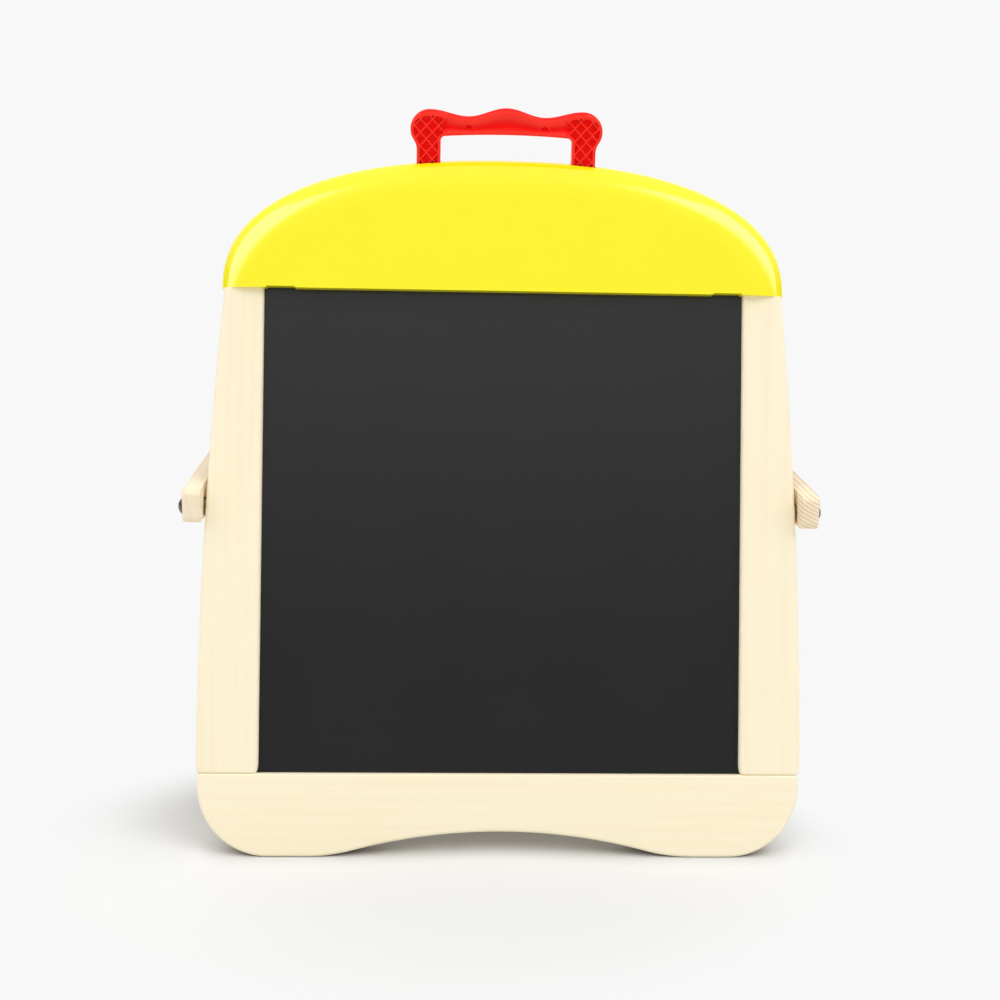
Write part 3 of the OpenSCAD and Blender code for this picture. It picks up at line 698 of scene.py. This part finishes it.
def vector_math(tree, operation, *values):
    """One step of arithmetic on vectors."""
    node = tree.nodes.new("ShaderNodeVectorMath")
    node.operation = operation
    for socket, value in zip(node.inputs, values):
        if isinstance(value, bpy.types.NodeSocket):
            tree.links.new(value, socket)
        else:
            socket.default_value = value
    return node.outputs["Value" if operation == "LENGTH" else "Vector"]


def axes(tree, vector):
    """The vector's X, Y and Z as separate outputs."""
    node = tree.nodes.new("ShaderNodeSeparateXYZ")
    tree.links.new(vector, node.inputs[0])
    return node.outputs


def ramp(tree, value, start, stop, low=0.0, high=1.0):
    """A soft step from low to high while the value goes from start to stop."""
    node = tree.nodes.new("ShaderNodeMapRange")
    node.interpolation_type = "SMOOTHSTEP"
    tree.links.new(value, node.inputs["Value"])
    for label, number in (("From Min", start), ("From Max", stop), ("To Min", low), ("To Max", high)):
        node.inputs[label].default_value = number
    return node.outputs["Result"]


def noise(tree, vector, scale, detail=3.0):
    """Cloudy noise from 0 to 1 over the vector."""
    node = tree.nodes.new("ShaderNodeTexNoise")
    tree.links.new(vector, node.inputs["Vector"])
    node.inputs["Scale"].default_value = scale
    node.inputs["Detail"].default_value = detail
    return node.outputs["Fac"]


def stretched(tree, vector, scale):
    """The vector scaled along its three axes."""
    node = tree.nodes.new("ShaderNodeMapping")
    node.inputs["Scale"].default_value = scale
    tree.links.new(vector, node.inputs["Vector"])
    return node.outputs["Vector"]


def mixed(tree, factor, first, second):
    """The colour factor of the way from first to second, each a colour or a socket."""
    node = tree.nodes.new("ShaderNodeMix")
    node.data_type = "RGBA"
    tree.links.new(factor, node.inputs[0])
    for socket, value in zip((node.inputs[6], node.inputs[7]), (first, second)):
        if isinstance(value, bpy.types.NodeSocket):
            tree.links.new(value, socket)
        else:
            socket.default_value = (*value, 1)
    return node.outputs[2]


def wood_group():
    """Sawn timber with its length along Z: rings are the distance from a far pith, with dark late
    wood at the end of each year; fibres are noise drawn out along the length."""
    group, given, out = new_group(
        "sawn_wood",
        [("Vector", "v", None), ("Ring Width", "f", 0.004), ("Pith", "v", (0.03, 0.11, 0)),
         ("Pale", "c", (1, 1, 1, 1)), ("Late", "c", (1, 1, 1, 1)), ("Ring Strength", "f", 0.4)],
        [("Color", "c"), ("Height", "f"), ("Gloss Loss", "f")])
    wobble = noise(group, stretched(group, given.outputs["Vector"], (9, 9, 1.6)), 1.0, 2.0)
    away = vector_math(group, "SUBTRACT", given.outputs["Vector"], given.outputs["Pith"])
    length = vector_math(group, "LENGTH", vector_math(group, "MULTIPLY", away, (1, 1, 0)))
    radius = math_node(group, "ADD", length, math_node(group, "MULTIPLY", wobble, 0.012))
    years = math_node(group, "DIVIDE", radius, given.outputs["Ring Width"])
    season = math_node(group, "FRACT", years)
    late = math_node(group, "POWER", season, 3.5)
    fall = math_node(group, "SUBTRACT", 1.0, math_node(group, "POWER", season, 30.0))
    ring = math_node(group, "MULTIPLY", late, fall)
    fibre = noise(group, stretched(group, given.outputs["Vector"], (1500, 1500, 22)), 1.0, 3.0)
    patch = noise(group, stretched(group, given.outputs["Vector"], (26, 26, 5)), 1.0, 2.0)
    streak = math_node(group, "MULTIPLY", math_node(group, "SUBTRACT", fibre, 0.5), 0.30)
    cloud = math_node(group, "MULTIPLY", math_node(group, "SUBTRACT", patch, 0.5), 0.35)
    tone = math_node(group, "ADD", streak, cloud)
    share = math_node(group, "MULTIPLY", ring, given.outputs["Ring Strength"])
    share = math_node(group, "MAXIMUM", math_node(group, "ADD", share, tone), 0.0)
    share = math_node(group, "MINIMUM", share, 1.0)
    colour = mixed(group, share, given.outputs["Pale"], given.outputs["Late"])
    group.links.new(colour, out.inputs["Color"])
    group.links.new(math_node(group, "ADD", math_node(group, "MULTIPLY", fibre, 0.6),
                              math_node(group, "MULTIPLY", ring, -0.5)), out.inputs["Height"])
    group.links.new(math_node(group, "MULTIPLY", share, 0.12), out.inputs["Gloss Loss"])
    return group


def finish_group():
    """The slight unevenness of a sprayed or moulded face: slow waviness, fine grit and rub marks."""
    group, given, out = new_group(
        "uneven_finish", [("Vector", "v", None), ("Grit", "f", 900.0), ("Wave", "f", 40.0)],
        [("Tone", "f"), ("Height", "f")])
    grit = group.nodes.new("ShaderNodeTexNoise")
    wave = group.nodes.new("ShaderNodeTexNoise")
    for node, label in ((grit, "Grit"), (wave, "Wave")):
        group.links.new(given.outputs["Vector"], node.inputs["Vector"])
        group.links.new(given.outputs[label], node.inputs["Scale"])
        node.inputs["Detail"].default_value = 3.0
    blend = math_node(group, "ADD", math_node(group, "MULTIPLY", wave.outputs["Fac"], 0.7),
                      math_node(group, "MULTIPLY", grit.outputs["Fac"], 0.3))
    group.links.new(blend, out.inputs["Tone"])
    group.links.new(math_node(group, "ADD", math_node(group, "MULTIPLY", wave.outputs["Fac"], 0.5),
                              math_node(group, "MULTIPLY", grit.outputs["Fac"], 0.12)), out.inputs["Height"])
    return group


WOOD = wood_group()
FINISH = finish_group()


def object_coords(tree, turn=(0, 0, 0), shift=(0, 0, 0)):
    """Object coordinates, turned and then shifted."""
    coords = tree.nodes.new("ShaderNodeTexCoord")
    place = tree.nodes.new("ShaderNodeMapping")
    place.inputs["Rotation"].default_value = turn
    place.inputs["Location"].default_value = shift
    tree.links.new(coords.outputs["Object"], place.inputs["Vector"])
    return place.outputs["Vector"]


def bumped(tree, skin, height, distance, strength):
    """Fine relief of the height on the skin's normal."""
    bump = tree.nodes.new("ShaderNodeBump")
    bump.inputs["Distance"].default_value = distance
    bump.inputs["Strength"].default_value = strength
    tree.links.new(height, bump.inputs["Height"])
    tree.links.new(bump.outputs["Normal"], skin.inputs["Normal"])


def wood(name, pale, late, turn, ring_width, pith, strength, roughness=0.48):
    """A sawn board whose length the turn lays along Z, with its rings round the far pith."""
    material = bpy.data.materials.new(name)
    tree, skin = nodes_of(material)
    grain = tree.nodes.new("ShaderNodeGroup")
    grain.node_tree = WOOD
    tree.links.new(object_coords(tree, turn), grain.inputs["Vector"])
    grain.inputs["Ring Width"].default_value = ring_width
    grain.inputs["Pith"].default_value = pith
    grain.inputs["Pale"].default_value = (*pale, 1)
    grain.inputs["Late"].default_value = (*late, 1)
    grain.inputs["Ring Strength"].default_value = strength
    tree.links.new(grain.outputs["Color"], skin.inputs["Base Color"])
    tree.links.new(math_node(tree, "ADD", grain.outputs["Gloss Loss"], roughness), skin.inputs["Roughness"])
    bumped(tree, skin, grain.outputs["Height"], 0.00012, 0.35)
    return material


def off_middle(tree, start, stop):
    """How far a point stands off the plane that halves the piece, from 0 at start to 1 at stop."""
    return ramp(tree, math_node(tree, "ABSOLUTE", axes(tree, object_coords(tree))["Y"]), start, stop)


def coated(name, base, shade, roughness, spread, grit, wave, bump, coat=0.0, metallic=0.0,
           specular=0.5, raised=None):
    """A painted, moulded or plated face whose tone and gloss drift a little over the surface.
    Where a colour is given for the raised parts, it is a painted highlight on them, and the hollows keep the
    darker base colour as painted shade."""
    material = bpy.data.materials.new(name)
    tree, skin = nodes_of(material)
    finish = tree.nodes.new("ShaderNodeGroup")
    finish.node_tree = FINISH
    tree.links.new(object_coords(tree), finish.inputs["Vector"])
    finish.inputs["Grit"].default_value = grit
    finish.inputs["Wave"].default_value = wave
    colour = mixed(tree, finish.outputs["Tone"], base, shade)
    if raised:
        # Painted highlight on the raised rim and ribs; the hollows keep the darker base as painted shade.
        colour = mixed(tree, off_middle(tree, *PAINTED_HIGHLIGHT_BAND), colour, raised)
    tree.links.new(colour, skin.inputs["Base Color"])
    drift = math_node(tree, "MULTIPLY", finish.outputs["Tone"], spread)
    tree.links.new(math_node(tree, "ADD", drift, roughness - spread / 2), skin.inputs["Roughness"])
    skin.inputs["Metallic"].default_value = metallic
    skin.inputs["Specular IOR Level"].default_value = specular
    skin.inputs["Coat Weight"].default_value = coat
    skin.inputs["Coat Roughness"].default_value = 0.08
    bumped(tree, skin, finish.outputs["Height"], bump, 0.3)
    return material


PALE, LATE = (0.970, 0.872, 0.640), (0.86, 0.665, 0.400)
ALONG_X = (0, math.radians(90), 0)
ALONG_Y = (math.radians(90), 0, 0)
pine_up_front = wood("pine_stile_front", PALE, LATE, turn=(LEAN, 0, 0), ring_width=5.2 * MM,
                     pith=(0.05, 0.14, 0), strength=0.16)
pine_up_rear = wood("pine_stile_rear", PALE, LATE, turn=(-LEAN, 0, 0), ring_width=5.2 * MM,
                    pith=(0.05, -0.14, 0), strength=0.16)
pine_across = wood("pine_rail", PALE, LATE, turn=ALONG_X, ring_width=6.0 * MM,
                   pith=(0.11, 0.05, 0), strength=0.13)
strut_pine = {
    "left": wood("pine_strut_left", (0.95, 0.81, 0.60), (0.80, 0.60, 0.38), turn=ALONG_Y,
                 ring_width=7.5 * MM, pith=(-0.5, -0.16, 0), strength=0.30, roughness=0.5),
    "right": wood("pine_strut_right", (0.97, 0.83, 0.62), (0.58, 0.34, 0.14), turn=ALONG_Y,
                  ring_width=2.4 * MM, pith=(0.228, -0.268, 0), strength=0.95, roughness=0.5)}
beech = wood("beech_dowel", (0.86, 0.70, 0.47), (0.66, 0.47, 0.27), turn=(0, 0, 0),
             ring_width=2 * MM, pith=(0.01, 0.02, 0), strength=0.3, roughness=0.6)
lacquer = coated("yellow_lacquer", (0.990, 0.885, 0.004), (0.975, 0.860, 0.002), roughness=0.16,
                 spread=0.05, grit=700, wave=26, bump=0.00002, coat=0.2)
slate = coated("chalkboard_paint", (0.0100, 0.0100, 0.0110), (0.0130, 0.0130, 0.0142), roughness=0.25,
               spread=0.04, grit=1500, wave=18, bump=0.00002)
enamel = coated("whiteboard_enamel", (0.90, 0.905, 0.90), (0.87, 0.88, 0.88), roughness=0.12,
                spread=0.05, grit=900, wave=14, bump=0.00002)
# The colour given for the raised parts is a painted highlight on the handle's rim and ribs.
plastic = coated("red_plastic", (0.98, 0.0018, 0.0010), (0.95, 0.0014, 0.0008), roughness=0.24,
                 spread=0.08, grit=1200, wave=60, bump=0.00003, specular=0.12,
                 raised=(0.99, 0.036, 0.020))
nickel = coated("dark_nickel", (0.20, 0.18, 0.155), (0.11, 0.10, 0.085), roughness=0.22,
                spread=0.14, grit=3000, wave=500, bump=0.00002, metallic=1.0)
zinc = coated("zinc_plate", (0.62, 0.63, 0.62), (0.50, 0.51, 0.50), roughness=0.36,
              spread=0.16, grit=2500, wave=300, bump=0.00002, metallic=1.0)
brass = coated("turned_brass", (0.70, 0.52, 0.22), (0.58, 0.42, 0.17), roughness=0.32,
               spread=0.14, grit=2500, wave=300, bump=0.00002, metallic=1.0)


# ---------- the easel ----------

def dress(node, material):
    """A CAD solid that shows as it is, in its finish."""
    solid = frame["nodes"][node]
    solid.data.materials.clear()
    solid.data.materials.append(material)


SIDES = (("front", -1, pine_up_front), ("rear", 1, pine_up_rear))
for end, side, upright_pine in SIDES:
    body = end + "_frame"
    finish_piece(make_cap(end + "_cap_shell", side), lacquer, body, [end + "_cap"])
    finish_piece(make_rail(end + "_rail_board", side), pine_across, body,
                 [end + "_bottom_rail"])
    for hand, word in ((-1, "left"), (1, "right")):
        finish_piece(make_stile(f"{end}_{word}_stile_board", side, hand), upright_pine, body,
                     [f"{end}_{word}_stile"])
    dress(end + "_dowels", beech)
    dress(end + "_hinge_leaves", zinc)
    dress(end + "_hinge_screws", zinc)

finish_piece(make_handle("handle_moulding"), plastic, "carry_handle", ["carry_handle"])
for word in ("left", "right"):
    finish_piece(make_strut(word + "_strut_board", word + "_strut"), strut_pine[word], word + "_strut",
                 [word + "_strut"])
for fixing, body in (("pivot", "front_frame"), ("catch", "rear_frame")):
    finish_piece(make_side_screws(fixing + "_screw_set", fixing + "_screws", fixing + "_washers"),
                 nickel, body, [fixing + "_screws"])
    dress(fixing + "_washers", nickel)
    dress(fixing + "_spacers", nickel)
    dress(fixing + "_inserts", brass)
dress("hinge_pins", zinc)
dress("chalkboard", slate)
dress("whiteboard", enamel)


# ---------- floor, light and camera ----------

# The floor: tones, then in metres the reach and depth of the painted shade at the feet, of its fade into the
# backdrop and of the shadow kept under the easel.
# A pair is where a soft step starts and stops.
BACKDROP = 0.939
FLOOR_PAPER = 0.80
FLOOR_REACH, FLOOR_LEVEL = 40.0, -0.0003
PAINTED_SHADE_REACH, PAINTED_SHADE_DEPTH = 18 * MM, 0.36
FADE_AT, FADE_SQUEEZE, FADE_SPAN = (-0.04, -0.13, 0), (1.0, 1.6, 1.0), (0.20, 0.30)
UNDER_X, UNDER_Y = (0.215, 0.13), (0.22, 0.12)

# The room: strengths, and spans of the viewing way's Z or of how far it points forwards. The edges
# of the boxes are in degrees.
ROOM = 0.40
OVERHEAD, OVERHEAD_Z = 1.25, (0.72, 0.92)
BACK_FILL, BEHIND = 0.35, (-0.1, -0.8)
FRONT, DIM_Z, DIM = (-0.7, -0.4), (0.04, 0.50), (-0.94, 0.0)
BOX_RIGHT, BOX_LEFT, BOX_GLOSS = 2.2, 1.4, 5.5
BOX_INNER, BOX_OUTER, BOX_FOOT, BOX_TOP = (2, 12), (81, 77), (2, 8), (63, 59)
SLANT_RIGHT, SLANT_LEFT = 64, 56
BOX_SLOPE, BOX_CUT = 0.72, (-6, 8)
GLOSS_TRIM, GLOSS_INSET = math.radians(3), math.radians(18)

LENS, SENSOR = 54.22, 36.0
CAMERA_AT = (-0.0439, -1.0389, 0.4733)
HEADING, DOWN, ROLL = (math.radians(a) for a in (2.475, 14.108, 1.246))


def studio_floor():
    """A wide pale floor that turns into the backdrop beyond the shadow round and under the easel.
    Near the feet, ambient occlusion darkens the paper's colour: a painted contact shadow."""
    corners = [[x * FLOOR_REACH, y * FLOOR_REACH, FLOOR_LEVEL]
               for x, y in ((-1, -1), (1, -1), (1, 1), (-1, 1))]
    floor = new_piece("studio_floor", corners, [[0, 1, 2, 3]])
    material = bpy.data.materials.new("studio_paper")
    tree, skin = nodes_of(material)
    # Painted shade: ambient occlusion darkens the paper's base colour where a foot meets it.
    painted_shade = tree.nodes.new("ShaderNodeAmbientOcclusion")
    painted_shade.inputs["Distance"].default_value = PAINTED_SHADE_REACH
    shade = math_node(tree, "POWER", painted_shade.outputs["AO"], PAINTED_SHADE_DEPTH)
    tree.links.new(math_node(tree, "MULTIPLY", shade, FLOOR_PAPER), skin.inputs["Base Color"])
    skin.inputs["Roughness"].default_value = 1.0
    skin.inputs["Specular IOR Level"].default_value = 0.0
    squeeze = stretched(tree, object_coords(tree, shift=[-c for c in FADE_AT]), FADE_SQUEEZE)
    far = ramp(tree, vector_math(tree, "LENGTH", squeeze), *FADE_SPAN)
    spot = axes(tree, object_coords(tree))
    under = product(tree, *(ramp(tree, math_node(tree, "ABSOLUTE", spot[axis]), *span)
                            for axis, span in (("X", UNDER_X), ("Y", UNDER_Y))))
    path = tree.nodes.new("ShaderNodeLightPath")
    seen = product(tree, far, math_node(tree, "SUBTRACT", 1.0, under), path.outputs["Is Camera Ray"])
    glow = tree.nodes.new("ShaderNodeEmission")
    glow.inputs["Color"].default_value = (BACKDROP, BACKDROP, BACKDROP, 1)
    mix = tree.nodes.new("ShaderNodeMixShader")
    tree.links.new(seen, mix.inputs[0])
    tree.links.new(skin.outputs["BSDF"], mix.inputs[1])
    tree.links.new(glow.outputs["Emission"], mix.inputs[2])
    out = next(node for node in tree.nodes if node.bl_idname == "ShaderNodeOutputMaterial")
    tree.links.new(mix.outputs[0], out.inputs["Surface"])
    floor.data.materials.append(material)


def product(tree, *values):
    """All the values multiplied."""
    total = values[0]
    for value in values[1:]:
        total = math_node(tree, "MULTIPLY", total, value)
    return total


def softbox(tree, across, height, hand, slant_from, glossy):
    """A far softbox between its inner and outer headings and its foot and top, in degrees, with its
    inner lower corner cut off along the line height + BOX_SLOPE heading = slant_from. In reflections
    the cut lies GLOSS_TRIM further out and the inner edge GLOSS_INSET."""
    heading = math_node(tree, "MULTIPLY", across, float(hand))
    slant = math_node(tree, "ADD", height, math_node(tree, "MULTIPLY", heading, BOX_SLOPE))
    slant = math_node(tree, "SUBTRACT", slant, math_node(tree, "MULTIPLY", glossy, GLOSS_TRIM))
    inner = math_node(tree, "SUBTRACT", heading, math_node(tree, "MULTIPLY", glossy, GLOSS_INSET))
    cut = [slant_from + blur for blur in BOX_CUT]
    edges = ((inner, BOX_INNER), (heading, BOX_OUTER), (height, BOX_FOOT), (height, BOX_TOP), (slant, cut))
    return product(tree, *(ramp(tree, value, *np.radians(span).tolist()) for value, span in edges))


def studio_world():
    """An even room with two far softboxes in front; what is seen directly is the pale backdrop."""
    world = bpy.data.worlds.new("studio")
    bpy.context.scene.world = world
    world.use_nodes = True
    tree = world.node_tree
    tree.nodes.clear()
    coords = tree.nodes.new("ShaderNodeTexCoord")
    way = axes(tree, coords.outputs["Generated"])
    forward = math_node(tree, "MULTIPLY", way["Y"], -1.0)
    across = math_node(tree, "ARCTAN2", way["X"], forward)
    height = math_node(tree, "ARCSINE", way["Z"])
    path = tree.nodes.new("ShaderNodeLightPath")
    camera, glossy = path.outputs["Is Camera Ray"], path.outputs["Is Glossy Ray"]
    right = softbox(tree, across, height, 1, SLANT_RIGHT, glossy)
    left = softbox(tree, across, height, -1, SLANT_LEFT, glossy)
    seen = math_node(tree, "MAXIMUM", math_node(tree, "MAXIMUM", camera, glossy),
                     path.outputs["Is Transmission Ray"])
    sky = math_node(tree, "ADD", math_node(tree, "MULTIPLY", seen, BACKDROP - ROOM), ROOM)
    front = ramp(tree, forward, *FRONT)
    dim = ramp(tree, way["Z"], *DIM_Z, *DIM)
    dimmed = math_node(tree, "ADD", math_node(tree, "MULTIPLY", product(tree, front, glossy), dim), 1.0)
    sky = math_node(tree, "MULTIPLY", sky, dimmed)
    glow_right = mix_number(tree, glossy, BOX_RIGHT, BOX_GLOSS)
    glow_left = mix_number(tree, glossy, BOX_LEFT, BOX_GLOSS)
    boxes = math_node(tree, "ADD", product(tree, right, glow_right), product(tree, left, glow_left))
    above = ramp(tree, way["Z"], *OVERHEAD_Z, 0.0, OVERHEAD)
    behind = ramp(tree, forward, *BEHIND, 0.0, BACK_FILL)
    soft = math_node(tree, "ADD", above, behind)
    boxes = math_node(tree, "ADD", boxes, product(tree, soft, math_node(tree, "SUBTRACT", 1.0, glossy)))
    hidden = math_node(tree, "SUBTRACT", 1.0, camera)
    light = math_node(tree, "ADD", sky, product(tree, boxes, hidden))
    lit = tree.nodes.new("ShaderNodeBackground")
    lit.inputs["Color"].default_value = (1, 1, 1, 1)
    tree.links.new(light, lit.inputs["Strength"])
    out = tree.nodes.new("ShaderNodeOutputWorld")
    tree.links.new(lit.outputs[0], out.inputs["Surface"])


def mix_number(tree, share, first, second):
    """The number share of the way from first to second."""
    return math_node(tree, "ADD", math_node(tree, "MULTIPLY", share, second - first), first)


def studio_camera():
    """Camera level with the cap, turned a little right and down, and rolled a degree."""
    ahead = Vector((math.sin(HEADING) * math.cos(DOWN), math.cos(HEADING) * math.cos(DOWN),
                    -math.sin(DOWN)))
    right = ahead.cross(Vector((0, 0, 1))).normalized()
    up = right.cross(ahead)
    rolled = math.cos(ROLL) * right + math.sin(ROLL) * up
    up = math.cos(ROLL) * up - math.sin(ROLL) * right
    lens = bpy.data.cameras.new("camera")
    lens.lens, lens.sensor_width = LENS, SENSOR
    camera = bpy.data.objects.new("camera", lens)
    camera.matrix_world = Matrix((rolled, up, -ahead)).transposed().to_4x4()
    camera.location = CAMERA_AT
    bpy.context.scene.collection.objects.link(camera)
    bpy.context.scene.camera = camera


studio_floor()
studio_world()
studio_camera()
bpy.context.scene.view_settings.view_transform = "Standard"
